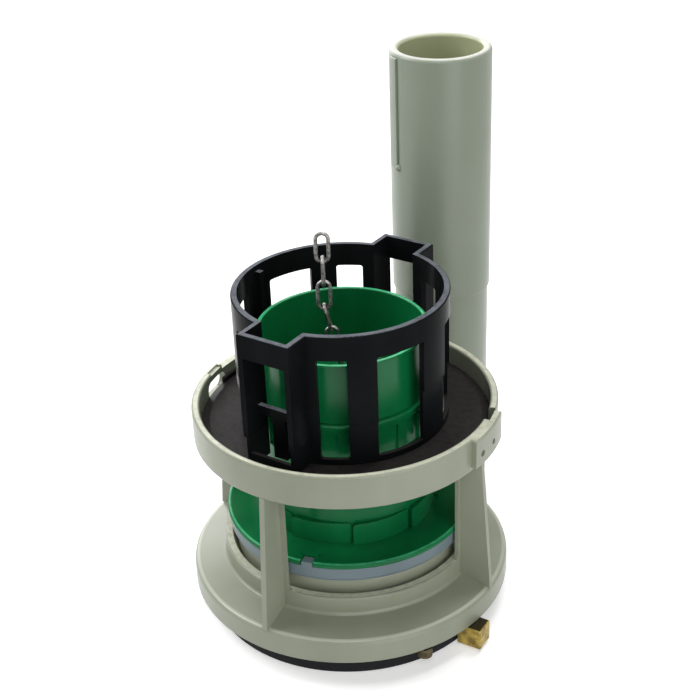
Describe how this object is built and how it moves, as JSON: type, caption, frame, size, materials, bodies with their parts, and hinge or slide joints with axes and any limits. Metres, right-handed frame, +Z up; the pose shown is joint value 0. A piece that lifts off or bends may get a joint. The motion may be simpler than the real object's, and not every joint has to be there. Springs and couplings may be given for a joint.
{
  "type": "toilet flush valve",
  "caption": "Piston flush valve for a cistern: flanged base with seal seat, lifting piston with float cup in a cage, pull chain and a tall overflow pipe beside it.",
  "frame": {"origin": "where the valve's vertical axis meets the underside of the base flange", "axes": "+Z up along the valve's axis and the overflow pipe, +Y from the valve's axis to the overflow pipe, +X completes the right-handed set"},
  "size_m": [0.1431, 0.1813, 0.2254],
  "materials": {
    "frame_plastic": "satin grey-green",
    "white_plastic": "satin",
    "black_plastic": "gloss",
    "green_plastic": "gloss",
    "grey_rubber": "satin",
    "black_rubber": "matte",
    "brass": "cut",
    "chain_steel": "plain"
  },
  "bodies": {
    "base": {"valve_base": "frame_plastic", "seat_insert": "frame_plastic", "guide_mast": "white_plastic", "base_gasket": "black_rubber", "fixing_block": "brass", "fixing_nut": "brass", "fixing_studs": "brass", "overflow_stub": "frame_plastic", "overflow_pipe": "frame_plastic", "pipe_ring_seal": "black_rubber", "top_frame": "frame_plastic", "cage_lid": "black_plastic", "cage_crown": "black_plastic"},
    "piston": {"piston_body": "green_plastic", "float_cup": "green_plastic", "main_seal": "grey_rubber", "seal_retainer": "white_plastic"},
    "link_1": {"chain_link_1": "chain_steel"},
    "link_2": {"chain_link_2": "chain_steel"},
    "link_3": {"chain_link_3": "chain_steel"},
    "link_4": {"chain_link_4": "chain_steel"},
    "link_5": {"chain_link_5": "chain_steel"},
    "link_6": {"chain_link_6": "chain_steel"}
  },
  "joints": [
    {"name": "piston_lift", "type": "slide", "parent": "base", "child": "piston", "axis": [0, 0, 1], "range_m": [0, 0.0391]},
    {"name": "chain_hinge_1", "type": "hinge", "parent": "piston", "child": "link_1", "pos_m": [0, 0, 0.0988], "axis": [0.848, 0.5299, 0], "range_deg": [-30, 30]},
    {"name": "chain_hinge_2", "type": "hinge", "parent": "link_1", "child": "link_2", "pos_m": [-0.00203, -0.00127, 0.109], "axis": [-0.5299, 0.848, 0], "range_deg": [-30, 30]},
    {"name": "chain_hinge_3", "type": "hinge", "parent": "link_2", "child": "link_3", "pos_m": [-0.00391, -0.00244, 0.11942], "axis": [-0.8295, -0.5183, -0.2079], "range_deg": [-30, 30]},
    {"name": "chain_hinge_4", "type": "hinge", "parent": "link_3", "child": "link_4", "pos_m": [-0.00578, -0.00361, 0.12983], "axis": [0.5299, -0.848, 0], "range_deg": [-30, 30]},
    {"name": "chain_hinge_5", "type": "hinge", "parent": "link_4", "child": "link_5", "pos_m": [-0.00563, -0.00352, 0.1405], "axis": [0.848, 0.5299, 0], "range_deg": [-30, 30]},
    {"name": "chain_hinge_6", "type": "hinge", "parent": "link_5", "child": "link_6", "pos_m": [-0.00563, -0.00352, 0.15115], "axis": [-0.5299, 0.848, 0], "range_deg": [-30, 30]}
  ]
}
